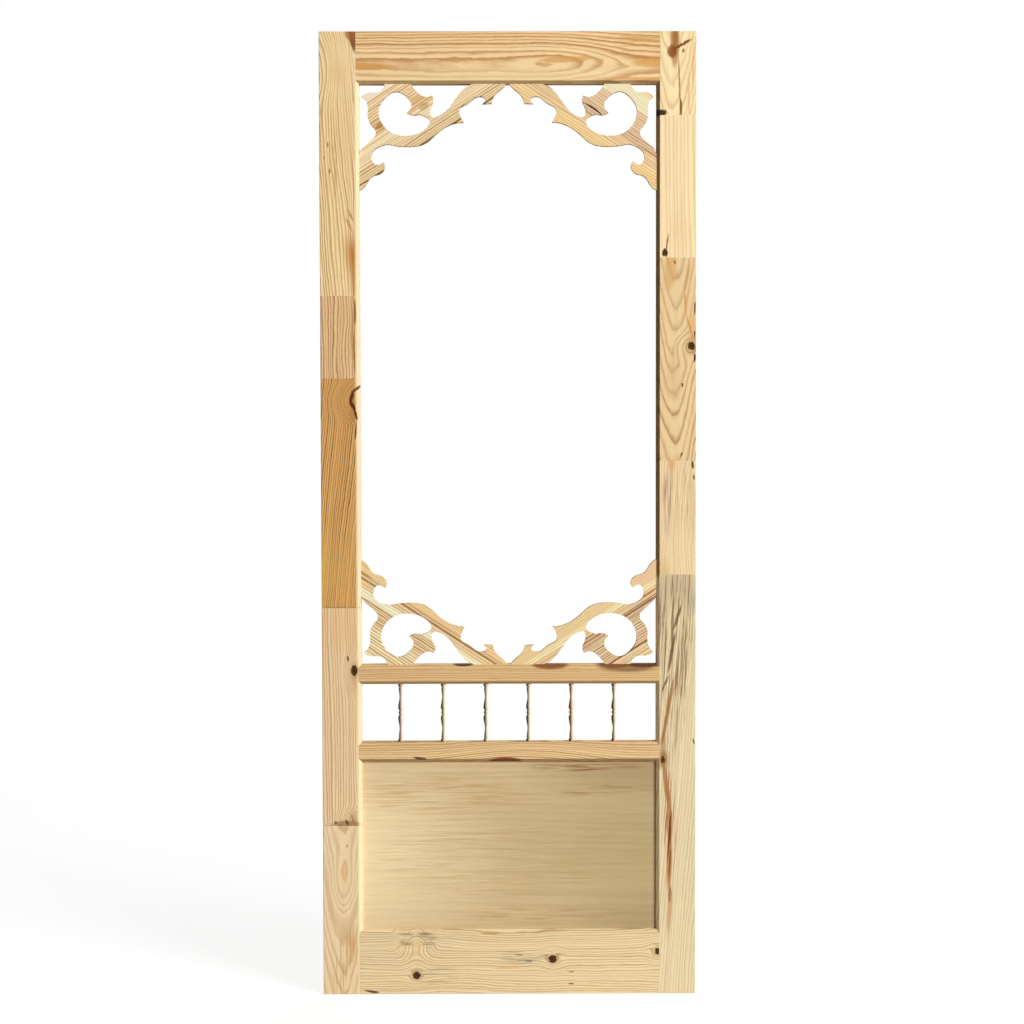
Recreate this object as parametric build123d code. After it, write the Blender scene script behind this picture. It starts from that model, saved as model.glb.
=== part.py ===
from build123d import *
import math
import os

# Bare pine screen door leaf, front facing -Y, +X to the right, +Z up, millimetres.
# The origin is on the hinge edge: its flat outer face, mid thickness, mid height.

# Leaf
doorHeight = 2057.4
doorWidth = 800.0
doorThick = 28.6
easedEdge = 1.0
frontY = -doorThick / 2
backY = doorThick / 2

# Members, each with its bevelled edges
stileWidth = 84.0
topRailHeight = 110.0
midRailHeight = 42.0
bottomRailHeight = 139.0
spindleOpening = 125.0
panelOpening = 364.0

# Bevel round the openings, on the front
bevel = 6.5

# Levels up the leaf, from its bottom
panelLow = bottomRailHeight
panelHigh = panelLow + panelOpening
spindleLow = panelHigh + midRailHeight
spindleHigh = spindleLow + spindleOpening
screenLow = spindleHigh + midRailHeight
screenHigh = doorHeight - topRailHeight
openingLeft = stileWidth
openingRight = doorWidth - stileWidth
openingWidth = openingRight - openingLeft

# Tenons fill their mortises, glued
tenonThick = 9.5
tenonLength = 38.0
tenonShoulder = 14.0
midTenonShoulder = 5.0
haunch = 24.0

# Panel, loose in its grooves at the edges only
panelThick = 6.0
grooveDepth = 9.0
panelRoom = 1.0

# Spline groove for the screen, on the back
splineWidth = 3.5
splineDepth = 6.0
splineInset = 8.0

# Lengths of board in each stile from the top, the last taking what is left, and their finger joints
hingeLengths = [558.0, 175.0, 490.5, 469.0]
latchLengths = [177.0, 301.0, 431.5, 243.5]
fingerLength = 10.0
fingerCount = 6

# Spindles, with a tenon at each end
spindleCount = 6
spindleLeftBay = 83.6
spindleRightBay = 90.4
spindlePitch = (openingWidth - spindleLeftBay - spindleRightBay) / (spindleCount - 1)
spindleTenonRadius = 3.6
spindleTenonLength = 10.0
spindleSocketFit = 0.15
endRadius = 4.2
ballRadius = 5.6
ballLength = 8.2
coveRadius = 3.5
ringRadius = 5.0
ringLength = 2.8
neckRadius = 2.7
neckPlace = 34.0
neckSteps = 5
vaseRadius = 5.7
vasePlace = 10.5
vaseSteps = 2
waistRadius = 3.2
centreRingRadius = 4.9
centreRingLength = 6.4
turnedSides = 12
ringSteps = 3
ballSteps = 4

# Scroll brackets, cut from board, their arms' tips nearly meeting
bracketThick = 16.0
bracketTipGap = 8.0
bracketReach = (openingWidth - bracketTipGap) / 2
bracketDrop = 224.0
bracketFront = frontY + bevel

midHeight = doorHeight / 2
nearZero = 1e-6


def between(x0, x1, y0, y1, z0, z1):
    """A box given by its two corners."""
    middle = ((x0 + x1) / 2, (y0 + y1) / 2, (z0 + z1) / 2)
    return Pos(*middle) * Box(x1 - x0, y1 - y0, z1 - z0)


def alongZ(points, z0, z1):
    """A profile in X and Y, drawn up from one height to another."""
    face = make_face(Polyline(*points, close=True))
    return Pos(0, 0, z0) * extrude(face, z1 - z0, dir=(0, 0, 1))


def alongX(points, x0, x1):
    """A profile in Y and Z, drawn from one place along X to another."""
    plane = Plane(origin=(x0, 0, 0), x_dir=(0, 1, 0), z_dir=(1, 0, 0))
    face = plane * make_face(Polyline(*points, close=True))
    return extrude(face, x1 - x0, dir=(1, 0, 0))


def flipX(shape):
    """The same shape for the other edge of the leaf."""
    return mirror(shape, about=Plane(origin=(doorWidth / 2, 0, 0), z_dir=(1, 0, 0)))


def easedEnds():
    """The thin triangles planed off the arrises of the top and bottom ends."""
    cuts = []
    for end, inward in ((0.0, 1), (doorHeight, -1)):
        for face, into in ((frontY, 1), (backY, -1)):
            points = [(face, end), (face + into * easedEdge, end), (face, end + inward * easedEdge)]
            cuts.append(alongX(points, 0, doorWidth))
    return cuts


def splineGrooves():
    """Two grooves on the back, one round each open bay."""
    cuts = []
    y0 = backY - splineDepth
    for low, high in ((screenLow, screenHigh), (spindleLow, spindleHigh)):
        inner = (openingLeft - splineInset, openingRight + splineInset, low - splineInset, high + splineInset)
        outer = (inner[0] - splineWidth, inner[1] + splineWidth, inner[2] - splineWidth, inner[3] + splineWidth)
        cuts.append(between(outer[0], inner[0], y0, backY, outer[2], outer[3]))
        cuts.append(between(inner[1], outer[1], y0, backY, outer[2], outer[3]))
        cuts.append(between(inner[0], inner[1], y0, backY, outer[2], inner[2]))
        cuts.append(between(inner[0], inner[1], y0, backY, inner[3], outer[3]))
    return cuts


def panelGroove():
    """The room the panel's edges take up in the four members round it."""
    return between(
        openingLeft - grooveDepth, openingRight + grooveDepth,
        -panelThick / 2, panelThick / 2,
        panelLow - grooveDepth, panelHigh + grooveDepth,
    )


def tenonPair(low, high):
    """The tenons at both ends of a rail, as one cutter reaching into both stiles."""
    return between(
        openingLeft - tenonLength, openingRight + tenonLength,
        -tenonThick / 2, tenonThick / 2, low, high,
    )


def allTenons():
    """Where the four rails' tenons lie."""
    return {
        "top_rail": tenonPair(screenHigh + tenonShoulder, doorHeight - haunch),
        "upper_mid_rail": tenonPair(spindleHigh + midTenonShoulder, screenLow - midTenonShoulder),
        "lower_mid_rail": tenonPair(panelHigh + grooveDepth + midTenonShoulder / 2, spindleLow - midTenonShoulder),
        "bottom_rail": tenonPair(haunch, panelLow - tenonShoulder),
    }


def stileProfile():
    """The stile's section, bevelled on its inner front arris."""
    return [
        (easedEdge, frontY),
        (stileWidth - bevel, frontY),
        (stileWidth, frontY + bevel),
        (stileWidth, backY),
        (easedEdge, backY),
        (0, backY - easedEdge),
        (0, frontY + easedEdge),
    ]


def wholeStile():
    """The hinge stile before it is cut into its lengths."""
    stile = alongZ(stileProfile(), 0, doorHeight)
    for tenon in allTenons().values():
        stile -= tenon
    for cut in [panelGroove()] + splineGrooves() + easedEnds():
        stile -= cut
    return stile


def fingers(height):
    """The zigzag across the thickness where two lengths meet."""
    pitch = doorThick / fingerCount
    points = []
    for i in range(fingerCount):
        points.append((frontY + i * pitch, height))
        points.append((frontY + (i + 0.5) * pitch, height - fingerLength))
    points.append((backY, height))
    return points


def lengthsOf(stile, lengths, left):
    """Cut a stile into its finger jointed lengths, from the top down."""
    joints = [doorHeight - sum(lengths[:i + 1]) for i in range(len(lengths))]
    cuts = [[(frontY, doorHeight), (backY, doorHeight)]]
    cuts += [fingers(joint) for joint in joints]
    cuts += [[(frontY, 0), (backY, 0)]]
    pieces = []
    for top, bottom in zip(cuts[:-1], cuts[1:]):
        block = alongX(bottom + top[::-1], left, left + stileWidth)
        pieces.append(stile & block)
    return pieces


def railProfile(low, high, bevelled):
    """A rail's section, its front arrises bevelled where they face an opening."""
    points = [(backY, low), (backY, high)]
    if "above" in bevelled:
        points += [(frontY + bevel, high), (frontY, high - bevel)]
    else:
        points += [(frontY, high)]
    if "below" in bevelled:
        points += [(frontY, low + bevel), (frontY + bevel, low)]
    else:
        points += [(frontY, low)]
    return points


def rail(name, low, high, bevelled, stiles):
    """A rail coped over the stiles' bevels, with its two tenons."""
    body = alongX(railProfile(low, high, bevelled), stileWidth - bevel, openingRight + bevel)
    body = body - stiles[0] - stiles[1]
    body += allTenons()[name]
    for cut in [panelGroove()] + splineGrooves() + easedEnds():
        body -= cut
    return body


def spindlePlaces():
    """The spindles' places across the opening."""
    return [openingLeft + spindleLeftBay + spindlePitch * i for i in range(spindleCount)]


def sockets():
    """The blind holes for the spindles' tenons in the two mid rails."""
    outline = RegularPolygon(spindleTenonRadius + spindleSocketFit, turnedSides)
    hole = extrude(outline, spindleOpening + 2 * spindleTenonLength)
    return [Pos(x, 0, spindleLow - spindleTenonLength) * hole for x in spindlePlaces()]


def eased(low, high, share):
    """A value that leaves one size and reaches another without a corner."""
    return low + (high - low) * (1 - math.cos(math.pi * share)) / 2


def swell(z0, z1, foot, crown, steps):
    """A rounded swelling between two heights: pairs of height and radius."""
    shares = [i / steps for i in range(steps + 1)]
    return [(z0 + (z1 - z0) * i, foot + (crown - foot) * math.sin(math.pi * i)) for i in shares]


def halfTurning():
    """The spindle's upper half from its middle to its end: pairs of height and radius."""
    half = spindleOpening / 2
    ballLow = half - ballLength
    ringLow = ballLow - ringLength
    profile = [(0, centreRingRadius), (centreRingLength / 2, waistRadius)]
    for i in range(1, vaseSteps + 1):
        share = i / vaseSteps
        profile.append((vasePlace * share + centreRingLength / 2 * (1 - share), eased(waistRadius, vaseRadius, share)))
    for i in range(1, neckSteps + 1):
        share = i / neckSteps
        profile.append((vasePlace + (neckPlace - vasePlace) * share, eased(vaseRadius, neckRadius, share)))
    profile.append((ringLow, coveRadius + (ringRadius - coveRadius) / 2))
    profile += swell(ringLow, ballLow, coveRadius, ringRadius, ringSteps)[1:]
    profile += swell(ballLow, half, endRadius, ballRadius, ballSteps)[1:]
    return profile


def spindle():
    """One turned spindle about Z, its middle at the origin, the same both ways."""
    upper = halfTurning()
    profile = [(-height, radius) for height, radius in upper[:0:-1]] + upper
    sections = [Pos(0, 0, height) * RegularPolygon(radius, turnedSides) for height, radius in profile]
    tenon = extrude(RegularPolygon(spindleTenonRadius, turnedSides), spindleTenonLength)
    top = Pos(0, 0, spindleOpening / 2) * tenon
    bottom = Pos(0, 0, -spindleOpening / 2 - spindleTenonLength) * tenon
    return loft(sections, ruled=True) + top + bottom


def arcPair(start, startWay, end, endWay):
    """Two arcs that leave start one way, reach end the other way and meet smoothly."""
    chord = end - start
    ways = startWay + endWay
    spread = 2 * (1 - startWay.dot(endWay))
    along = chord.dot(ways)
    if spread > nearZero:
        reach = (math.sqrt(along ** 2 + spread * chord.dot(chord)) - along) / spread
    else:
        reach = chord.dot(chord) / (2 * along)
    meet = (start + startWay * reach + end - endWay * reach) / 2
    return [TangentArc(start, meet, tangent=startWay), TangentArc(end, meet, tangent=-endWay)]


def bracketEnds():
    """The outline's two farthest points as drawn, on the rail and on the stile."""
    return (312, 0), (0, 224)


def onBracket(points):
    """Points of the outline as drawn, stretched to the bracket's reach and drop."""
    armEnd, footEnd = bracketEnds()
    across = bracketReach / armEnd[0]
    down = bracketDrop / footEnd[1]
    return [(x * across, y * down) for x, y in points]


def straight(*points):
    """A straight cut between two points."""
    return [Line(*onBracket(points))]


def stroke(*points):
    """One flowing cut of the saw through its points, as arcs that meet smoothly."""
    points = onBracket(points)
    guide = Spline(*points)
    arcs = []
    for start, end in zip(points[:-1], points[1:]):
        ways = [guide.tangent_at(Vector(*point)) for point in (start, end)]
        arcs += arcPair(Vector(*start), ways[0], Vector(*end), ways[1])
    return arcs


def bracketFace():
    """The top left bracket's outline: X out from the stile, Y down from the rail."""
    armEnd, footEnd = bracketEnds()
    armLeafBack = (282, 40.5)
    armLeaf = (262, 41.5)
    middleLeaf = (222, 80.5)
    throat = (66, 127.5)
    footLeaf = (51, 164)
    footTop = (0, 150)
    barb = (6.5, 26)
    ringStart = (55, 0)
    ringEnd = (111, 0)
    finial = (155, 24)
    armStart = (243, 0)
    outer = []
    outer += stroke(armEnd, (302, 11), (289, 22.5), armLeafBack)
    outer += straight(armLeafBack, armLeaf)
    outer += stroke(armLeaf, (268, 31), (254, 26), (232, 40), (213, 54), (215, 67), middleLeaf)
    outer += stroke(middleLeaf, (195, 85), (166, 103), (139, 125), (108, 131.5), throat)
    outer += stroke(throat, (42, 132), (26, 149), (32, 168), footLeaf)
    outer += stroke(footLeaf, (54.5, 174.5), (46, 187.5), (26, 195.5), (13.5, 213), footEnd)
    outer += straight(footEnd, footTop)
    outer += stroke(footTop, (25, 119), (35, 107), (20, 76), (18.5, 47), (13, 33), barb)
    outer += stroke(barb, (16, 19), (37, 17.8), ringStart)
    outer += straight(ringStart, ringEnd)
    outer += stroke(ringEnd, (130, 22), (143, 27.3), finial)
    outer += stroke(finial, (158, 32), (151.5, 52), (154.5, 69), (170, 67), (205, 31), armStart)
    outer += straight(armStart, armEnd)
    curl = (102, 60)
    hook = (127, 63)
    inner = []
    inner += stroke(
        curl, (111.5, 47), (96, 22), (77, 15.5), (56, 27.5), (42, 52), (49, 83), (72, 104),
        (105, 109), (133, 100.5), (149.5, 83), hook,
    )
    inner += stroke(hook, (116, 65), curl)
    return make_face(Wire(outer)) - make_face(Wire(inner))


def bracket():
    """The top left bracket in its corner of the screen opening."""
    corner = Plane(origin=(openingLeft, bracketFront, screenHigh), x_dir=(1, 0, 0), z_dir=(0, 1, 0))
    return extrude(corner * bracketFace(), bracketThick, dir=(0, 1, 0))


def flipScreen(shape):
    """The same shape at the other end of the screen opening."""
    middle = (screenLow + screenHigh) / 2
    return mirror(shape, about=Plane(origin=(0, 0, middle), z_dir=(0, 0, 1)))


def makeParts():
    """Every piece by its name, standing on its bottom edge."""
    parts = {}
    leftStile = wholeStile()
    rightStile = flipX(leftStile)
    for i, piece in enumerate(lengthsOf(leftStile, hingeLengths, 0)):
        parts[f"hinge_stile_length_{i + 1}"] = piece
    for i, piece in enumerate(lengthsOf(rightStile, latchLengths, openingRight)):
        parts[f"latch_stile_length_{i + 1}"] = piece
    stiles = (leftStile, rightStile)
    parts["top_rail"] = rail("top_rail", screenHigh, doorHeight, ("below",), stiles)
    upperMid = rail("upper_mid_rail", spindleHigh, screenLow, ("below", "above"), stiles)
    lowerMid = rail("lower_mid_rail", panelHigh, spindleLow, ("below", "above"), stiles)
    for socket in sockets():
        upperMid -= socket
        lowerMid -= socket
    parts["upper_mid_rail"] = upperMid
    parts["lower_mid_rail"] = lowerMid
    parts["bottom_rail"] = rail("bottom_rail", 0, panelLow, ("above",), stiles)
    inGroove = grooveDepth - panelRoom
    parts["bottom_panel"] = between(
        openingLeft - inGroove, openingRight + inGroove,
        -panelThick / 2, panelThick / 2,
        panelLow - inGroove, panelHigh + inGroove,
    )
    turned = spindle()
    middle = (spindleLow + spindleHigh) / 2
    for i, x in enumerate(spindlePlaces()):
        parts[f"spindle_{i + 1}"] = Pos(x, 0, middle) * turned
    topLeft = bracket()
    parts["bracket_top_left"] = topLeft
    parts["bracket_top_right"] = flipX(topLeft)
    parts["bracket_bottom_left"] = flipScreen(topLeft)
    parts["bracket_bottom_right"] = flipX(flipScreen(topLeft))
    return parts


os.makedirs("parts", exist_ok=True)
for name, shape in makeParts().items():
    export_step(Pos(0, 0, -midHeight) * shape, f"parts/{name}.step")
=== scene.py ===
import math
import bmesh
import bpy
import numpy as np
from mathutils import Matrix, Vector


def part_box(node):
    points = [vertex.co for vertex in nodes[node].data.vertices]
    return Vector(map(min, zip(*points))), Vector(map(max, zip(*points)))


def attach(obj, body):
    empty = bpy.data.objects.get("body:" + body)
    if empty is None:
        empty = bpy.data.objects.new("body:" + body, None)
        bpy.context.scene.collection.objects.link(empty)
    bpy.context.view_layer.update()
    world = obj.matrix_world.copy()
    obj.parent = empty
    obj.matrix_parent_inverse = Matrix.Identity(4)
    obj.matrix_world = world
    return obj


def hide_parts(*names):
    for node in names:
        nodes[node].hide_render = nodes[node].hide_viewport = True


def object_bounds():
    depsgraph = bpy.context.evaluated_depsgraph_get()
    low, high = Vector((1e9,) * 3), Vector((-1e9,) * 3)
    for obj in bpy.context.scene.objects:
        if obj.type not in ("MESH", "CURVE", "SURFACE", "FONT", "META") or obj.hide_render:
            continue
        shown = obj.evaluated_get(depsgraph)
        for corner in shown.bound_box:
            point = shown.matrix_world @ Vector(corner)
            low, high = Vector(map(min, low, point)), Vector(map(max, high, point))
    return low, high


# A bare knotty pine screen door leaf in plain studio light.
# Meshes are in metres. Dictionaries are in millimetres, degrees and sRGB hex.
# A place on the leaf is (x, z): x from the hinge edge, z up from mid height.

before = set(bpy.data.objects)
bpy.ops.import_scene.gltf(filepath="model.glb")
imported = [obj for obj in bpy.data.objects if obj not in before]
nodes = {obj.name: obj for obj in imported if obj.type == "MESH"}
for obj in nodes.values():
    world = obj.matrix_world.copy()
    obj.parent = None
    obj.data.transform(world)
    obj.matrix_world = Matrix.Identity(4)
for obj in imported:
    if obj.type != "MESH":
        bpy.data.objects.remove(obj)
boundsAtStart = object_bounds()
leafLow, leafHigh = boundsAtStart
mm = 0.001
endToEnd = 2e4                       # longer than any board: a band this long runs from end to end
print("frame loaded:", len(nodes), "nodes")


def srgb(code):
    # one hex colour turned to linear
    parts = [int(code[i:i + 2], 16) / 255 for i in (1, 3, 5)]
    return [c / 12.92 if c <= 0.04045 else ((c + 0.055) / 1.055) ** 2.4 for c in parts] + [1.0]


def add(tree, kind, inputs=None, stops=(), steps="LINEAR", **settings):
    # one node with its settings, links and plain values; a ramp's stops start with its two ends
    node = tree.nodes.new("ShaderNode" + kind)
    for key, value in settings.items():
        setattr(node, key, value)
    for key, value in (inputs or {}).items():
        if isinstance(value, bpy.types.NodeSocket):
            tree.links.new(value, node.inputs[key])
        else:
            node.inputs[key].default_value = value
    for i, (place, level) in enumerate(stops):
        node.color_ramp.interpolation = steps
        stop = node.color_ramp.elements[i] if i < 2 else node.color_ramp.elements.new(place)
        stop.position = place
        stop.color = srgb(level) if isinstance(level, str) else (level, level, level, 1)
    return node


def emptyMaterial(name):
    mat = bpy.data.materials.new(name)
    mat.use_nodes = True
    mat.node_tree.nodes.clear()
    return mat, mat.node_tree


def onBoard(look, place):
    # a place on the leaf as (along the grain, across it)
    angle = math.radians(look["grain"])
    x, z = place
    return x * math.cos(angle) + z * math.sin(angle), z * math.cos(angle) - x * math.sin(angle)


def sized(size, by):
    # a knot's size times a pair of shares
    return size[0] * by[0], size[1] * by[1]


def spot(tree, coords, look, place, size, turn=0.0):
    # 1 in the middle of an ellipse on the board, falling evenly to 0 at its rim, right through the board
    along, across = onBoard(look, place)
    placed = add(tree, "Mapping", {
        "Vector": coords, "Location": (along, across, 0), "Rotation": (0, 0, math.radians(turn)),
        "Scale": (size[0], size[1], endToEnd)}, vector_type="TEXTURE")
    return add(tree, "TexGradient", {"Vector": placed.outputs[0]}, gradient_type="SPHERICAL").outputs[1]


def noiseOver(tree, coords, long, wide, detail, rough, shift):
    # unevenness drawn out along the grain: one bundle is long by wide, and the shift picks another part
    placed = add(tree, "Mapping", {
        "Vector": coords, "Scale": (1 / long, 1 / wide, 1 / wide), "Location": (shift, 0, 0)})
    return add(tree, "TexNoise", {
        "Vector": placed.outputs[0], "Scale": 1.0, "Detail": detail, "Roughness": rough})


def stainAndPaintedLight(tree, colour, where, tone, share, fade, ease="SMOOTHSTEP"):
    # the tone laid over the wood up to its share, as the spot rises through the fade; it lays real stains
    # and marks, and also painted light and shade
    start, full = fade
    cover = add(tree, "MapRange", {0: where, 1: start, 2: full, 4: share}, interpolation_type=ease)
    return add(tree, "Mix", {0: cover.outputs[0], 6: colour, 7: tone}, data_type="RGBA").outputs[2]


# Sawn and planed pine, not oiled. The eye gets pale straw earlywood with narrow brown latewood
# lines, each sharp on one side, cathedral loops where the cut runs near level with the rings,
# faint silky fibre and next to no shine.
pine = {
    # latewood through one year, its two ends first
    "season": ((0.0, 0.3), (1.0, 0.5), (0.07, 0.04), (0.42, 0.08), (0.64, 0.5), (0.78, 0.95), (0.93, 1.0)),
    "yearly": 0.55,                  # how faint the faintest ring is beside the strongest
    "uneven": (0.6, 0.9),            # ring widths vary this fast, by this many rings
    # unevenness drawn out along the grain: length and width of one bundle, detail, roughness
    "fibre": (60.0, 2.2, 3.0, 0.65),  # drawn coarse enough to show
    "silk": (240.0, 9.0, 2.0, 0.5),  # broader bands of tone
    "wobble": (34.0, 9.0, 2.0, 0.5),  # of the rings
    "streak": (100.0, 2.6, 3.0, 0.6),  # of a stain along the fibres
    "ragged": (16.0, 3.2, 2.0, 0.55),  # of the rims of knots and stains
    "waverDetail": (2.0, 0.4),       # of the slow waver, whose length and width each board gives
    "fibreShade": 0.3,
    "silkShade": 0.16,
    "wobbleBy": 3.0,
    "streakFade": (0.48, 0.62),      # noise level at which a streak starts and is full
    "raggedBy": (11.0, 2.6, 2.6),
    "stripStep": 0.37,               # part of a ring by which the next strip of a glued board is out
    "ior": 1.5,
    "roughness": 0.72,
    "shine": 0.1,
    "relief": 0.05,                  # how proud the latewood stands after planing
    "reliefShare": 0.35,
}
# A knot is dark bark brown with a paler ring; the wood's rings part round it. Sizes are in knot sizes.
knot = {
    "swell": (2.4, 2.6), "swellRings": 1.3, "reach": (4.5, 4.5), "part": 0.85, "halo": (2.4, 2.1),
    "haloShare": 0.55, "haloFade": (0.1, 0.75), "rimFade": (0.0, 0.1),
    "rings": ((0.0, "#2A160A"), (1.0, "#2E180A"), (0.2, "#2C190A"), (0.45, "#5C3C1A"), (0.7, "#4A2E12"),
              (0.85, "#28160A")),
}
# how each kind of mark fades in from its rim
fades = {"patch": (0.0, 1.0), "paintedBevelLight": (0.0, 0.15), "streaks": (0.0, 0.6), "stain": (0.0, 0.4)}


def pineBoard(name, look):
    # rings are shells round a pith line that tapers, wavers and swells round knots
    mat, tree = emptyMaterial(name)
    seed = look["seed"]
    local = add(tree, "TexCoord").outputs["Object"]
    coords = add(tree, "Mapping", {
        "Vector": local, "Scale": (1 / mm, 1 / mm, 1 / mm),
        "Rotation": (math.radians(-90), 0, math.radians(-look["grain"]))}).outputs[0]
    along, across, deep = add(tree, "SeparateXYZ", {0: coords}).outputs

    if "strips" in look:
        # a glued up board changes tone, ring and strength from strip to strip
        starts = [strip[0] for strip in look["strips"]]
        place = add(tree, "MapRange", {0: across, 1: starts[0], 2: starts[-1]}).outputs[0]
        spread = [(start - starts[0]) / (starts[-1] - starts[0]) for start in starts[:-1]]
        spread.append(spread[-1])
        tones = look["strips"][:-1] + look["strips"][-2:-1]
        shifts = [i * pine["stripStep"] % 1 for i in range(len(spread))]
        early, late, strength, shift = [
            add(tree, "ValToRGB", {0: place}, list(zip(spread, levels)), "CONSTANT").outputs[0]
            for levels in [[tone[i] for tone in tones] for i in (1, 2, 3)] + [shifts]]
    else:
        early, late = srgb(look["early"]), srgb(look["late"])
        strength, shift = look["strength"], look.get("phase", 0.0)

    pithAcross = onBoard(look, look["pith"][0])[1]
    fromPith = add(tree, "Mapping", {
        "Vector": coords, "Scale": (0, 1, 1), "Location": (0, -pithAcross, -look["pith"][1])})
    shells = add(tree, "VectorMath", {0: fromPith.outputs[0]}, operation="LENGTH").outputs["Value"]
    field = add(tree, "Math", {0: along, 1: look["taper"], 2: shells}, operation="MULTIPLY_ADD").outputs[0]
    by, long, wide = look["waver"]
    waver = noiseOver(tree, coords, long, wide, *pine["waverDetail"], seed).outputs[0]
    field = add(tree, "Math", {0: waver, 1: by, 2: field}, operation="MULTIPLY_ADD").outputs[0]
    wobble = noiseOver(tree, coords, *pine["wobble"], seed + 3).outputs[0]
    field = add(tree, "Math", {
        0: wobble, 1: pine["wobbleBy"], 2: field}, operation="MULTIPLY_ADD").outputs[0]
    swells = list(look.get("swells", []))
    for place, size, core in look.get("knots", []):
        # the rings part round a knot and close up right beside it
        swells.append((place, sized(size, knot["swell"]), 0, look["ring"] * knot["swellRings"]))
        near = spot(tree, coords, look, place, sized(size, knot["reach"]))
        knotAcross = onBoard(look, place)[1]
        away = add(tree, "Math", {0: across, 1: knotAcross}, operation="SUBTRACT").outputs[0]
        part = -knot["part"] if knotAcross > pithAcross else knot["part"]
        slack = add(tree, "MapRange", {0: near, 4: part}, interpolation_type="SMOOTHSTEP").outputs[0]
        field = add(tree, "Math", {0: away, 1: slack, 2: field}, operation="MULTIPLY_ADD").outputs[0]
    for place, size, turn, rise in swells:
        hump = spot(tree, coords, look, place, size, turn)
        lift = add(tree, "MapRange", {0: hump, 4: rise}, interpolation_type="SMOOTHERSTEP").outputs[0]
        field = add(tree, "Math", {0: field, 1: lift}, operation="ADD").outputs[0]

    # the field counted in rings: the whole number is the year, the rest the season
    count = add(tree, "Math", {0: field, 1: 1 / look["ring"], 2: shift}, operation="MULTIPLY_ADD").outputs[0]
    fast, by = pine["uneven"]
    uneven = add(tree, "TexNoise", {"W": count, "Scale": fast, "Detail": 1.0}, noise_dimensions="1D")
    count = add(tree, "Math", {0: uneven.outputs[0], 1: by, 2: count}, operation="MULTIPLY_ADD").outputs[0]
    year = add(tree, "Math", {0: count}, operation="FLOOR").outputs[0]
    season = add(tree, "Math", {0: count}, operation="FRACT").outputs[0]
    season = add(tree, "Math", {0: season, 1: look.get("widen", 1.0)}, operation="POWER").outputs[0]
    latewood = add(tree, "ValToRGB", {0: season}, pine["season"]).outputs[0]
    yearly = add(tree, "TexWhiteNoise", {"W": year}, noise_dimensions="1D").outputs[0]
    yearly = add(tree, "MapRange", {0: yearly, 3: pine["yearly"], 4: 1.0}).outputs[0]
    dark = add(tree, "Math", {0: latewood, 1: yearly}, operation="MULTIPLY").outputs[0]
    dark = add(tree, "Math", {0: dark, 1: strength}, operation="MULTIPLY").outputs[0]
    colour = add(tree, "Mix", {0: dark, 6: early, 7: late}, data_type="RGBA").outputs[2]

    # the bevel tones laid here are painted highlight and painted shade
    for kind in ("patch", "paintedBevelLight"):
        for place, size, turn, tone, share in look.get(kind, []):
            where = spot(tree, coords, look, place, size, turn)
            ease = "SMOOTHSTEP" if kind == "patch" else "LINEAR"
            colour = stainAndPaintedLight(tree, colour, where, srgb(tone), share, fades[kind], ease)
    if "streaks" in look:
        streak = noiseOver(tree, coords, *pine["streak"], seed + 5).outputs[0]
        start, full = pine["streakFade"]
        lines = add(tree, "MapRange", {0: streak, 1: start, 2: full}, interpolation_type="SMOOTHSTEP")
        for place, size, turn, tone, share in look["streaks"]:
            where = spot(tree, coords, look, place, size, turn)
            streaky = add(tree, "Math", {0: lines.outputs[0], 1: share}, operation="MULTIPLY").outputs[0]
            colour = stainAndPaintedLight(tree, colour, where, srgb(tone), streaky, fades["streaks"])

    fibre = noiseOver(tree, coords, *pine["fibre"], 0).outputs[0]
    silk = noiseOver(tree, coords, *pine["silk"], seed + 9).outputs[0]
    plain = 1 - 0.5 * (pine["fibreShade"] + pine["silkShade"])
    shade = add(tree, "Math", {0: fibre, 1: pine["fibreShade"], 2: plain}, operation="MULTIPLY_ADD")
    shade = add(tree, "Math", {
        0: silk, 1: pine["silkShade"], 2: shade.outputs[0]}, operation="MULTIPLY_ADD")
    colour = add(tree, "VectorMath", {0: colour, "Scale": shade.outputs[0]}, operation="SCALE").outputs[0]

    # stains and knots have ragged rims
    grit = noiseOver(tree, coords, *pine["ragged"], seed + 7).outputs[1]
    grit = add(tree, "VectorMath", {0: grit, 1: (0.5, 0.5, 0.5)}, operation="SUBTRACT").outputs[0]
    ragged = add(tree, "VectorMath", {
        0: grit, 1: pine["raggedBy"], 2: coords}, operation="MULTIPLY_ADD").outputs[0]
    for place, size, turn, tone, share in look.get("stains", []):
        where = spot(tree, ragged, look, place, size, turn)
        colour = stainAndPaintedLight(tree, colour, where, srgb(tone), share, fades["stain"])
    for place, size, core in look.get("knots", []):
        halo = spot(tree, ragged, look, place, sized(size, knot["halo"]))
        colour = stainAndPaintedLight(tree, colour, halo, late, knot["haloShare"], knot["haloFade"], "LINEAR")
        inside = spot(tree, ragged, look, place, sized(size, (core, core)))
        bark = add(tree, "ValToRGB", {0: inside}, knot["rings"]).outputs[0]
        colour = stainAndPaintedLight(tree, colour, inside, bark, 1.0, knot["rimFade"], "LINEAR")

    height = add(tree, "Math", {0: dark, 1: fibre}, operation="ADD").outputs[0]
    relief = add(tree, "Bump", {
        "Height": height, "Strength": pine["reliefShare"], "Distance": pine["relief"] * mm})
    wood = add(tree, "BsdfPrincipled", {
        "Base Color": colour, "Roughness": pine["roughness"], "IOR": pine["ior"],
        "Specular IOR Level": pine["shine"], "Normal": relief.outputs[0]})
    add(tree, "OutputMaterial", {"Surface": wood.outputs[0]})
    return mat


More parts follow.
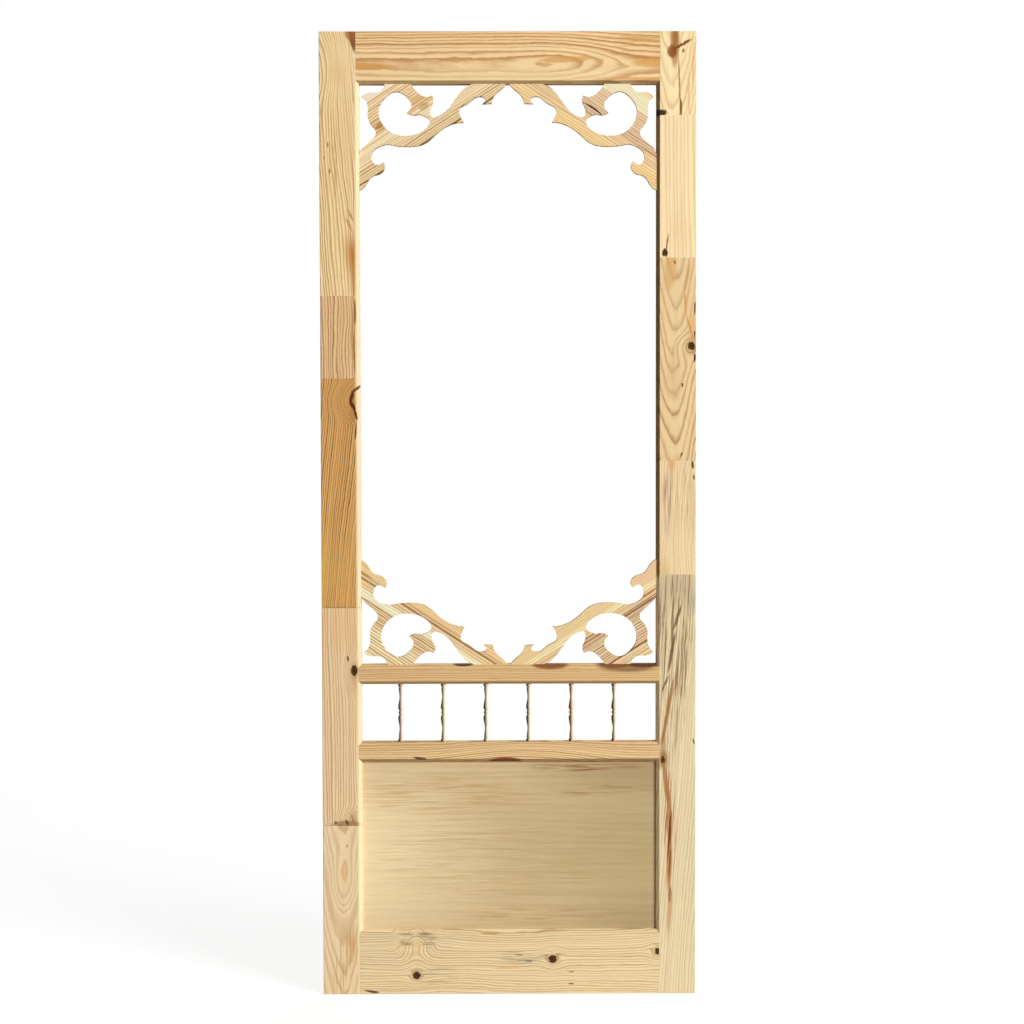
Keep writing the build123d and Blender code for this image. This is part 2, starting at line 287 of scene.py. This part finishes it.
# One look for each board: early and late wood, ring spacing, the pith's place and depth (toward the
# front is up), taper along the grain, waver (by, long, wide), swells (place, size, turn, rise),
# patches, streaks and stains (place, size, turn, tone, share), knots (place, size, share of it that
# is dark). Sizes are half lengths, along the grain first. Phase moves the rings on by a part of one,
# and widen gives more of each ring to earlywood.
looks = {
    "hinge_stile_length_1": {
        "grain": 90, "early": "#FFE3AA", "late": "#9F6029", "ring": 6.2, "strength": 0.9, "seed": 1.0,
        "pith": ((-500, 700), -40), "taper": 0.09, "waver": (26, 240, 50),
        "swells": [((86, 640), (60, 34), 0, 13), ((10, 960), (120, 60), 0, -16)],
        "patch": [((50, 960), (150, 52), 0, "#F8DAA8", 0.8), ((45, 940), (45, 26), 0, "#E6B478", 0.4),
                  ((60, 800), (110, 30), 0, "#F2CE96", 0.7), ((76, 554), (74, 34), 7, "#BD7C3A", 1.0),
                  ((78, 500), (95, 20), 3, "#BD7C3A", 0.9)],
        "streaks": [((20, 780), (130, 30), 5, "#A8672C", 0.5)],
        "stains": [((73, 1014), (38, 11), 12, "#7C431C", 0.92), ((66, 1024), (16, 14), 8, "#A8683A", 0.7),
                   ((66, 640), (16, 3), 25, "#A8672C", 0.6), ((62, 622), (18, 3), 25, "#A8672C", 0.6),
                   ((18, 790), (5, 1.8), 0, "#8A5426", 0.8), ((10, 762), (4, 1.6), 0, "#8A5426", 0.8),
                   ((22, 735), (7, 1.8), 0, "#8A5426", 0.8)],
    },
    "hinge_stile_length_2": {
        "grain": 90, "early": "#F0CB96", "late": "#915627", "ring": 6.4, "strength": 0.85, "seed": 4.0,
        "pith": ((-500, 400), -40), "taper": 0.02, "waver": (24, 120, 40),
        "patch": [((80, 390), (110, 26), 0, "#BE8650", 0.65)],
        "stains": [((74, 436), (34, 3.2), 0, "#84501F", 0.8), ((72, 350), (50, 3), 2, "#9A6230", 0.7)],
    },
    "hinge_stile_length_3": {
        "grain": 90, "early": "#E8B26C", "late": "#5C3008", "ring": 4.8, "strength": 0.95, "seed": 7.0,
        "pith": ((-500, 100), -40), "taper": -0.1, "waver": (16, 260, 60),
        "swells": [((88, 248), (62, 100), 0, 46)],
        "patch": [((70, 235), (60, 20), 0, "#A8692C", 0.6), ((2, -120), (170, 18), 0, "#DDB054", 0.75),
                  ((40, -120), (150, 50), 0, "#DDAD66", 0.4)],
        "stains": [((76.5, 273.5), (13, 3.8), -49, "#52240E", 0.95),
                   ((66, 256), (17, 5.2), -14, "#52240E", 0.96),
                   ((68, 237), (15, 5.2), 28, "#52240E", 0.96), ((75, 218), (14, 3.6), 13, "#52240E", 0.95),
                   ((75, 186), (28, 2.0), -3, "#6A3612", 0.92),
                   ((40, -193.5), (1.4, 60), 0, "#7A4A1E", 0.55)],
    },
    "hinge_stile_length_4": {
        "grain": 90, "early": "#F4D6AA", "late": "#A46F39", "ring": 6.0, "strength": 0.7, "seed": 11.0,
        "pith": ((-500, -400), -40), "taper": 0.03, "waver": (18, 260, 50),
        "swells": [((92, -340), (66, 66), 0, 46), ((60, -675), (70, 50), 0, 36)],
        "patch": [((72, -352), (44, 22), 0, "#D2A874", 0.6), ((42, -235), (80, 70), 0, "#E6BA80", 0.55),
                  ((66, -650), (26, 20), 0, "#BC925F", 0.65)],
        "knots": [((69, -329), (12, 7.5), 1.0)],
        "stains": [((50, -659), (8, 36), 0, "#94703F", 0.75), ((55.5, -304), (7, 3), 0, "#6E4526", 0.9),
                   ((52, -656), (7, 4), 20, "#5E3C1E", 0.9), ((28, -658), (4, 2.4), 0, "#5E3C1E", 0.9),
                   ((64, -648), (12, 2), 15, "#8A5C30", 0.7), ((40, -662.8), (1.2, 60), 0, "#8A6238", 0.5)],
    },
    "hinge_stile_length_5": {
        "grain": 90, "early": "#F2D8AC", "late": "#AA7740", "ring": 6.5, "strength": 0.5, "seed": 15.0,
        "pith": ((44, -800), -32), "taper": -0.11, "waver": (10, 200, 60),
        "swells": [((45, -785), (100, 36), 0, -13)],
        "patch": [((62, -925), (60, 18), 0, "#D9AC72", 0.7), ((45, -775), (60, 14), 0, "#E6C08C", 0.5)],
        "streaks": [((44, -955), (100, 22), -12, "#B98448", 0.8)],
        "stains": [((52, -707), (5, 2.4), 0, "#A87C4C", 0.7)],
    },
    "latch_stile_length_1": {
        "grain": 90, "early": "#FFE8B6", "late": "#B87F3E", "ring": 7.0, "strength": 0.5, "seed": 19.0,
        "pith": ((750, 900), -16), "taper": -0.15, "waver": (8, 120, 50),
        "stains": [((754, 1006), (66, 12), 0, "#B57A44", 0.8), ((755, 1012), (42, 7), 0, "#9C602F", 0.7),
                   ((748, 986), (17, 12), 0, "#84491F", 0.85), ((770, 1001), (28, 4), -61, "#7A4120", 0.95),
                   ((772, 987), (7, 3), -20, "#7A4120", 0.8), ((764, 918), (72, 1.9), 2, "#A5682F", 0.85),
                   ((767, 868), (24, 3.2), 2, "#84481C", 0.9), ((720, 857), (9, 22), 0, "#2C180A", 0.97)],
        "streaks": [((790, 930), (120, 16), 0, "#DDA864", 0.7)],
    },
    "latch_stile_length_2": {
        "grain": 90, "early": "#FEE7B9", "late": "#CE9958", "ring": 8.5, "strength": 0.55, "seed": 23.0,
        "pith": ((200, 700), -40), "taper": 0.015, "waver": (14, 300, 60),
        "patch": [((764, 610), (70, 30), 0, "#F0C898", 0.4)],
        "stains": [((733.7, 561), (9.5, 8), 0, "#3A1C08", 0.98),
                   ((738, 582), (24, 1.8), -9, "#7C4A22", 0.9)],
    },
    "latch_stile_length_3": {
        "grain": 90, "early": "#EED19F", "late": "#9C6934", "ring": 7.0, "strength": 0.75, "seed": 27.0,
        "widen": 1.8,
        "pith": ((754, 300), -24), "taper": -0.14, "waver": (14, 180, 60),
        "patch": [((758, 105), (40, 16), 0, "#D9AE70", 0.8), ((750, 300), (80, 24), 0, "#DDB684", 0.6),
                  ((794, 400), (70, 14), 0, "#E2AC6A", 0.6)],
        "stains": [((746, 532), (66, 15), -6, "#DBAA68", 0.7),
                   ((781, 509), (40, 3.4), -10, "#D09650", 0.75),
                   ((777, 455), (30, 3.4), 3, "#D09650", 0.75),
                   ((786, 405), (34, 3.4), 16, "#D09650", 0.75), ((754, 541), (4, 3), 0, "#6A4A20", 0.9),
                   ((797, 443), (16, 2.6), 0, "#6A4424", 0.85), ((797, 388), (9, 2), 0, "#301606", 0.97),
                   ((797, 338), (11, 2.6), 0, "#301606", 0.97), ((771, 281), (5, 2.6), 0, "#4A2E18", 0.9),
                   ((769, 131), (7, 2), -30, "#4A2E18", 0.85)],
        "knots": [((790, 363), (12, 10), 0.78)],
    },
    "latch_stile_length_4": {
        "grain": 90, "early": "#F3DAAC", "late": "#A47342", "ring": 6.5, "strength": 0.3, "seed": 31.0,
        "pith": ((1300, 0), -40), "taper": 0.04, "waver": (28, 160, 40),
        "patch": [((735, 60), (52, 11), -6, "#BFA088", 0.7), ((737, -22), (40, 9), 4, "#CDB49C", 0.7),
                  ((750, 0), (60, 10), 0, "#DCCB9C", 0.6), ((796, 0), (130, 12), 0, "#DDB688", 0.55),
                  ((748, 119), (40, 15), 0, "#DDAC66", 0.85),
                  ((731, -124), (52, 26), 0, "#DDBA7E", 0.75)],
        "streaks": [((760, 40), (110, 46), 0, "#A07C54", 0.45), ((738, 30), (80, 12), -6, "#8A6C5C", 0.6)],
        "stains": [((793, 111), (10, 3.6), 0, "#4A2A14", 0.92), ((796, 84), (7, 2.2), 0, "#4A2A14", 0.85)],
    },
    "latch_stile_length_5": {
        "grain": 87, "early": "#EBD9B0", "late": "#AB814C", "ring": 6.4, "strength": 0.42, "seed": 35.0,
        "pith": ((1300, -600), -40), "taper": 0.03, "waver": (18, 300, 50),
        "patch": [((762, -150), (80, 70), 0, "#C6AE8C", 0.8), ((795, -182), (40, 12), 0, "#A8AA8C", 0.6)],
        "streaks": [((758, -230), (240, 60), 0, "#75563A", 0.85),
                    ((750, -420), (160, 40), -4, "#8A6442", 0.6),
                    ((744, -660), (170, 20), 3, "#A4632E", 0.95),
                    ((745, -820), (120, 14), 0, "#B4763E", 0.7)],
        "stains": [((731, -521), (21, 9), 0, "#8E6436", 0.85), ((731, -495), (40, 6), 0, "#A98050", 0.6),
                   ((761, -216), (34, 4), -14, "#75543A", 0.85),
                   ((748.5, -292), (54, 4.4), -7, "#75543A", 0.9),
                   ((735, -358), (24, 3), -20, "#75543A", 0.85),
                   ((740, -420), (98, 5), -7, "#A06A3A", 0.85), ((736, -570), (58, 6), 9, "#AC7240", 0.85),
                   ((744, -655), (80, 7), 4, "#AC7240", 0.8), ((744, -690), (70, 3.4), -1, "#6E3A18", 0.92),
                   ((745, -752), (70, 6), 0, "#B97E4A", 0.75), ((745, -745), (40, 2), 0, "#7C4622", 0.85),
                   ((745, -815), (20, 4.4), 0, "#7C4622", 0.85), ((745, -845), (60, 6), 0, "#C49262", 0.6),
                   ((796, -482), (8, 1.8), 20, "#301606", 0.97)],
        "knots": [((730, -523), (14, 9), 0.5)],
    },
    "top_rail": {
        "grain": 0, "early": "#F9DAA4", "late": "#B06A27", "ring": 5.2, "strength": 0.85, "seed": 40.0,
        "phase": 0.22,
        "pith": ((400, 958), -30), "taper": 0.0, "waver": (12, 340, 70),
        "swells": [((770, 962), (330, 130), 0, 15), ((513, 968), (180, 60), 0, -4)],
        "patch": [((300, 1030), (420, 36), 0, "#E2AE70", 0.3),
                  ((380, 938), (460, 34), 0, "#F4D8A4", 0.75)],
        "streaks": [((700, 1000), (120, 40), 0, "#C88A44", 0.6)],
        "stains": [((521, 969), (66, 8), 2, "#D6A05A", 0.75), ((84, 955), (80, 9), 0, "#D69C54", 0.8),
                   ((708, 962), (52, 11), 0, "#DDA55A", 0.75), ((672, 929), (62, 4), 0, "#DDA862", 0.75)],
    },
    "upper_mid_rail": {
        "grain": 0, "early": "#E6C38E", "late": "#AA773B", "ring": 5.0, "strength": 0.75, "seed": 44.0,
        "pith": ((400, -900), -40), "taper": 0.0, "waver": (8, 300, 50),
        "stains": [((302, -317), (26, 4.4), 0, "#4A2810", 0.92), ((488, -318), (48, 11), 0, "#84492C", 0.9),
                   ((655, -318), (78, 19), 0, "#8E6C48", 0.9), ((625, -317), (42, 10), 0, "#84502E", 0.85),
                   ((690, -316), (50, 9), 0, "#54301A", 0.85)],
    },
    "lower_mid_rail": {
        "grain": 0, "early": "#EECE9A", "late": "#A36F31", "ring": 5.4, "strength": 0.98, "seed": 48.0,
        "pith": ((400, -1100), -40), "taper": 0.0, "waver": (8, 260, 50),
        "swells": [((430, -530), (260, 90), 0, -24)],
        "stains": [((209, -518), (18, 3.4), -8, "#54300F", 0.92),
                   ((392, -524), (42, 10), 0, "#7C3A1C", 0.92)],
    },
    "bottom_rail": {
        "grain": 0, "early": "#F1DBAE", "late": "#A07440", "ring": 5.4, "strength": 0.7, "seed": 52.0,
        "pith": ((400, -1500), -40), "taper": 0.0, "waver": (30, 220, 60),
        "swells": [((199, -888), (62, 104), 0, -46)],
        "knots": [((200, -988), (9, 8.5), 1.0), ((493, -953), (9.5, 9), 1.0), ((720, -937), (9, 9), 0.8)],
        "patch": [((199, -925), (12, 30), 0, "#EBCB94", 0.85)],
        "streaks": [((178, -908), (22, 24), 35, "#8A6E48", 0.85),
                    ((224, -910), (32, 22), -30, "#8A7450", 0.85),
                    ((430, -950), (60, 24), 0, "#948672", 0.9), ((240, -985), (60, 30), 0, "#A08A64", 0.7)],
        "stains": [((104, -1023), (18, 3.6), -8, "#4E3418", 0.92),
                   ((358, -898), (26, 2.6), 0, "#C09448", 0.8), ((400, -971), (40, 3.4), 4, "#DDAE6C", 0.7),
                   ((421, -944), (12, 1.6), 0, "#6E6250", 0.8), ((442, -958), (9, 1.6), 0, "#6E6250", 0.8),
                   ((533, -981), (7, 1.4), 0, "#5A4426", 0.85),
                   ((533, -1007), (7, 1.4), 0, "#5A4426", 0.85)],
    },
    "bottom_panel": {
        "grain": 0, "early": "#D3BB8F", "late": "#9F7F4F", "ring": 16.0, "strength": 0.22, "seed": 56.0,
        "pith": ((400, -1100), -200), "taper": 0.01, "waver": (40, 500, 60),
        # these four patches are painted shading: paler on the left, darker toward the right, most near the
        # right's top and bottom
        "patch": [((50, -730), (400, 330), 0, "#FBE4B6", 0.9),
                  ((740, -690), (430, 380), 0, "#B09C70", 0.75),
                  ((700, -535), (330, 90), 0, "#A58C66", 0.7),
                  ((740, -880), (330, 100), 0, "#A08A62", 0.6)],
        "streaks": [((560, -538), (150, 16), 0, "#8A5E34", 0.9),
                    ((610, -590), (170, 20), 0, "#A07A48", 0.7),
                    ((250, -600), (260, 60), 0, "#B98E54", 0.5),
                    ((480, -860), (240, 30), 0, "#A68250", 0.5),
                    ((420, -740), (420, 120), 0, "#B4945E", 0.35)],
    },
}
# The bevel along the openings carries painted light: a painted highlight on the hinge side, which faces the
# key light, and painted shade on the latch side and under the rails. Width of the tone from the board's
# edge, tone, share.
paintedBevelLight = {
    "hinge": (10.5, "#F6E0B8", 0.85), "latch": (7.5, "#7C5620", 0.8),
    "top": (7.0, "#7A5626", 0.5), "upper": (6.0, "#7A5626", 0.5), "lower": (6.0, "#7A5626", 0.5),
}

midWidth = (leafLow.x + leafHigh.x) / 2
for name, look in looks.items():
    low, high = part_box(name)
    bevelPlaces = {"hinge": (high.x, 0), "latch": (low.x, 0)}   # on a stile, and else under a rail
    for side, (wide, tone, share) in paintedBevelLight.items():
        if name.startswith(side):
            x, z = bevelPlaces.get(side, (midWidth, low.z))
            # the bevel's painted highlight or painted shade runs the board's whole length
            look["paintedBevelLight"] = [((x / mm, z / mm), (endToEnd, wide), 0, tone, share)]
    nodes[name].data.materials.clear()
    nodes[name].data.materials.append(pineBoard("pine " + name.replace("_", " "), look))
print("boards: materials made")


# Scroll brackets, band sawn from edge glued pine and lightly sanded. The eye gets slanting strips
# of unlike tone, each with its own rings.
bracketLook = {
    "ring": 5.6, "seed": 60.0, "pith": ((0, 2500), -60), "taper": 0.0, "waver": (8, 200, 40),
}
# grain, then the strips across it: where each starts, early and late wood, strength; the last is the end
bracketStrips = {
    "bracket_top_left": (33, [
        (530, "#F7DEAC", "#885522", 1.0), (567, "#FCE5BC", "#BE874D", 0.7),
        (590, "#FFECC2", "#C6945A", 0.6), (612, "#F7D49C", "#804C1D", 0.75),
        (641, "#FDE3B4", "#9B5D22", 0.95), (684, "#FCEED7", "#E2BE8E", 0.5),
        (706, "#F2D29D", "#9F6A34", 0.8), (735, "#F2D29D", "#9F6A34", 0.8)]),
    "bracket_top_right": (-33, [
        (965, "#FADCA1", "#C28941", 0.8), (1003, "#F6D8A8", "#AC7943", 0.75),
        (1030, "#ECCCA6", "#85562C", 0.85), (1055, "#F0D2AC", "#AA7B53", 0.75),
        (1092, "#F4EAC2", "#D2BF8E", 0.5), (1126, "#FAE5B2", "#CA9851", 0.6),
        (1170, "#FAE5B2", "#CA9851", 0.6)]),
    "bracket_bottom_left": (-33, [
        (-205, "#FFEEBE", "#9B642A", 0.95), (-140, "#F5DAA9", "#8B5520", 1.0),
        (-98, "#FFFBD7", "#CEA061", 0.7), (-80, "#F6DCAD", "#AD793F", 0.7),
        (-64.5, "#8A5A2C", "#7A4A20", 0.5), (-62.5, "#EACB97", "#A16828", 0.8),
        (-54, "#FAD9A2", "#A16828", 0.55), (-20, "#FFE5AD", "#A56C2A", 0.65)]),
    "bracket_bottom_right": (33, [
        (-650, "#F4DBAC", "#A0713B", 0.8), (-606, "#EECCA1", "#7B4926", 1.0),
        (-575, "#F4D9AA", "#5C3B19", 1.0), (-548, "#E4BC94", "#3A1604", 1.0),
        (-533, "#EECCA0", "#54280C", 1.0), (-529.5, "#5E3818", "#5E3818", 0.5),
        (-528, "#F5D4A2", "#A06E37", 0.6), (-512, "#FFEFBD", "#B7864A", 0.6),
        (-500, "#ECD2A0", "#D8A969", 0.55), (-460, "#ECD3A4", "#D8A96A", 0.55)]),
}
bracketStains = {
    "bracket_top_left": [((130, 832), (16, 8), 0, "#B06626", 0.6),
                         ((222, 872), (14, 8), 0, "#A88040", 0.5)],
    "bracket_top_right": [((582, 867), (26, 2.2), -2, "#3E2210", 0.97)],
    "bracket_bottom_left": [((88, -120), (30, 4), 0, "#A86A2E", 0.6)],
    "bracket_bottom_right": [((700, -165), (24, 3.4), 0, "#A85E2A", 0.75),
                             ((694, -118), (44, 30), 0, "#EBC49C", 0.65)],
}


def mergedCopy(node):
    # the CAD node's loose triangles joined into one skin
    mesh = node.data.copy()
    piece = bpy.data.objects.new(node.name + "_finished", mesh)
    bpy.context.scene.collection.objects.link(piece)
    skin = bmesh.new()
    skin.from_mesh(mesh)
    bmesh.ops.remove_doubles(skin, verts=skin.verts, dist=0.001 * mm)
    skin.to_mesh(mesh)
    skin.free()
    return piece


for i, (name, (grain, strips)) in enumerate(bracketStrips.items()):
    piece = mergedCopy(nodes[name])
    look = dict(bracketLook, grain=grain, strips=strips, stains=bracketStains[name])
    look["seed"] += i
    piece.data.materials.clear()
    piece.data.materials.append(pineBoard("edge glued pine " + name.replace("_", " "), look))
    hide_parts(name)
    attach(piece, "root")
print("brackets: finished")


# Spindles, turned on a lathe from pine and sanded in it. The eye gets pale sapwood, with painted shade
# down the hinge side, the side turned away from the key light.
turning = {
    "sides": 40, "ballLength": 8.2, "ringLength": 2.8, "centreRingLength": 6.4, "centreRound": 0.8,
    # heights over the middle
    "neckPlace": 34.0, "vasePlace": 10.5,
    # radii, from the ends to the middle
    "end": 4.2, "ball": 5.6, "cove": 2.8, "ring": 4.7, "ringFoot": 4.1, "neck": 2.7, "vase": 5.7,
    "waist": 3.2, "centreRing": 4.9,
}
spindleLook = {
    "grain": 90, "late": "#DDB078", "ring": 3.0, "strength": 0.25, "seed": 70.0, "taper": 0.01,
    "waver": (4, 200, 30), "pithDepth": -40,
}
# each spindle's sapwood, and the brown of the painted shade down its hinge side
spindleTones = [
    ("#FFEBDA", "#5A3412"), ("#FFF0C8", "#524008"), ("#F8F0CC", "#443C06"),
    ("#FFF2D6", "#5A400E"), ("#FFE4C6", "#6A2E06"), ("#FCEBC8", "#4A3008"),
]
paintedShadeSide = {"offset": 4.0, "halfWidth": 9.2}


def eased(z0, z1, r0, r1, count):
    # radius goes from one to the other by half a cosine wave
    s = np.linspace(0, 1, count)
    return np.stack([z0 + (z1 - z0) * s, r0 + (r1 - r0) * (1 - np.cos(np.pi * s)) / 2], 1)


def bead(z0, z1, foot, head, crown, count):
    # a straight line from foot to head with half a sine wave on it, up to the crown
    s = np.linspace(0, 1, count)
    rise = (crown - (foot + head) / 2) * np.sin(np.pi * s)
    return np.stack([z0 + (z1 - z0) * s, foot + (head - foot) * s + rise], 1)


def halfTurning(t, opening):
    # (height, radius) from the middle ring, a cosine drawn full by a power, out to the end ball
    half = opening / 2
    ballLow = half - t["ballLength"]
    ringLow = ballLow - t["ringLength"]
    centre = t["centreRingLength"] / 2
    s = np.linspace(0, 1, 6)
    full = np.cos(np.pi / 2 * s) ** t["centreRound"]
    return np.concatenate([
        np.stack([centre * s, t["waist"] + (t["centreRing"] - t["waist"]) * full], 1),
        eased(centre, t["vasePlace"], t["waist"], t["vase"], 8)[1:],
        eased(t["vasePlace"], t["neckPlace"], t["vase"], t["neck"], 16)[1:],
        eased(t["neckPlace"], ringLow, t["neck"], t["ringFoot"], 8)[1:],
        bead(ringLow, ballLow, t["ringFoot"], t["cove"], t["ring"], 7)[1:],
        bead(ballLow, half, t["cove"], t["end"], t["ball"], 11)[1:],
    ])


def lathe(name, profile, centre, sides):
    # x and y are radius times the cosine and sine of the turn, z is the height along the profile
    turns = np.linspace(0, 2 * np.pi, sides, endpoint=False)
    r, z = profile[:, 1] * mm, profile[:, 0] * mm
    x = centre[0] + r[:, None] * np.cos(turns)
    y = centre[1] + r[:, None] * np.sin(turns)
    points = np.stack([x, y, np.broadcast_to(centre[2] + z[:, None], x.shape)], -1).reshape(-1, 3)
    row, step = np.meshgrid(np.arange(len(r) - 1), np.arange(sides), indexing="ij")
    here = (row * sides + step).ravel()
    beside = (row * sides + (step + 1) % sides).ravel()
    faces = np.stack([here, beside, beside + sides, here + sides], 1).tolist()
    faces += [list(range(sides))[::-1], list(range(len(points) - sides, len(points)))]
    mesh = bpy.data.meshes.new(name)
    mesh.from_pydata(points.tolist(), [], faces)
    mesh.shade_smooth()
    piece = bpy.data.objects.new(name, mesh)
    bpy.context.scene.collection.objects.link(piece)
    return piece


spindleOpening = (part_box("upper_mid_rail")[0].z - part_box("lower_mid_rail")[1].z) / mm
upper = halfTurning(turning, spindleOpening)
wholeTurning = np.concatenate([upper[:0:-1] * [-1, 1], upper])     # the same both ways from the middle
for i, (sap, dark) in enumerate(spindleTones):
    name = f"spindle_{i + 1}"
    low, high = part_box(name)
    centre = (low + high) / 2
    piece = lathe(name + "_turned", wholeTurning, centre, turning["sides"])
    look = dict(spindleLook, early=sap, pith=((centre.x / mm, 0), spindleLook["pithDepth"]))
    look["seed"] += i
    # the hinge side is painted brown as shade, at full share along its middle line
    look["patch"] = [((centre.x / mm - paintedShadeSide["offset"], 0), (endToEnd, paintedShadeSide["halfWidth"]), 0, dark, 1.0)]
    piece.data.materials.append(pineBoard("turned pine " + name, look))
    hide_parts(name)
    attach(piece, "root")
print("spindles: turned")


# Studio: white paper floor, white air behind, one softbox high on the right, a weaker one behind.
# Sizes and distances are in metres, power in watts.
studio = {
    "floorSpan": 2.6, "paper": "#DDDDDD", "paperSeen": "#8A8A8A", "paperGlow": 0.86,
    "airLight": 0.08, "airTone": "#FFEBD0", "white": "#FFFFFF",
}
lamps = {
    "key softbox": {"turn": 43.0, "rise": 20.0, "away": 12.0, "size": 4.5, "power": 1620.0},
    "back softbox": {"turn": 155.0, "rise": 25.0, "away": 10.0, "size": 3.0, "power": 400.0},
}


def seenRay(tree):
    # 1 for rays of the camera, of a shine and through something clear
    rays = add(tree, "LightPath").outputs
    seen = add(tree, "Math", {0: rays["Is Camera Ray"], 1: rays["Is Glossy Ray"]}, operation="MAXIMUM")
    seen = add(tree, "Math", {0: seen.outputs[0], 1: rays["Is Transmission Ray"]}, operation="MAXIMUM")
    return seen.outputs[0]


# matt white paper: it shows white with the leaf's soft shadow, and lights the leaf as paper does
white = srgb(studio["white"])
mat, tree = emptyMaterial("studio paper")
seen = seenRay(tree)
tone = add(tree, "Mix", {
    0: seen, 6: srgb(studio["paper"]), 7: srgb(studio["paperSeen"])}, data_type="RGBA").outputs[2]
paper = add(tree, "BsdfDiffuse", {"Color": tone})
strength = add(tree, "Math", {0: seen, 1: studio["paperGlow"]}, operation="MULTIPLY").outputs[0]
glow = add(tree, "Emission", {"Color": white, "Strength": strength})
both = add(tree, "AddShader", {0: paper.outputs[0], 1: glow.outputs[0]})
add(tree, "OutputMaterial", {"Surface": both.outputs[0]})

span, floorZ = studio["floorSpan"], leafLow.z
corners = [(-span, -span, floorZ), (span, -span, floorZ), (span, span, floorZ), (-span, span, floorZ)]
floorMesh = bpy.data.meshes.new("floor")
floorMesh.from_pydata(corners, [], [(0, 1, 2, 3)])
floor = bpy.data.objects.new("floor", floorMesh)
bpy.context.scene.collection.objects.link(floor)
floor.data.materials.append(mat)

world = bpy.data.worlds.new("studio air")
bpy.context.scene.world = world
world.use_nodes = True
tree = world.node_tree
tree.nodes.clear()
seen = seenRay(tree)
strength = add(tree, "MapRange", {0: seen, 3: studio["airLight"], 4: 1.0}).outputs[0]
tone = add(tree, "Mix", {0: seen, 6: srgb(studio["airTone"]), 7: white}, data_type="RGBA").outputs[2]
air = add(tree, "Background", {"Color": tone, "Strength": strength})
add(tree, "OutputWorld", {"Surface": air.outputs[0]})


def softbox(name, turn, rise, away, size, power):
    # turn runs from straight in front toward the right
    aim = Vector((midWidth, 0, 0))
    t, r = math.radians(turn), math.radians(rise)
    back = Vector((math.sin(t) * math.cos(r), -math.cos(t) * math.cos(r), math.sin(r)))
    lamp = bpy.data.lights.new(name, "AREA")
    lamp.size = size
    lamp.energy = power
    holder = bpy.data.objects.new(name, lamp)
    bpy.context.scene.collection.objects.link(holder)
    holder.location = aim + back * away
    holder.rotation_euler = back.to_track_quat("Z", "Y").to_euler()


for name, lamp in lamps.items():
    softbox(name, **lamp)

# Camera, standing in front of the leaf a little over mid height; focal is in pixels of the frame
view = {
    "across": 382.9, "away": 4772.4, "above": 207.8, "down": 2.378, "turn": -0.298, "roll": 0.109,
    "focal": 2230.4, "frameWide": 1024, "sensor": 36,
}
lens = bpy.data.cameras.new("camera")
lens.sensor_width = view["sensor"]
lens.lens = view["focal"] / view["frameWide"] * lens.sensor_width
cam = bpy.data.objects.new("camera", lens)
bpy.context.scene.collection.objects.link(cam)
cam.location = (view["across"] * mm, -view["away"] * mm, view["above"] * mm)
cam.rotation_euler = [math.radians(angle) for angle in (90 - view["down"], view["roll"], view["turn"])]
bpy.context.scene.camera = cam
bpy.context.scene.view_settings.view_transform = "Standard"
print("studio and camera: set")
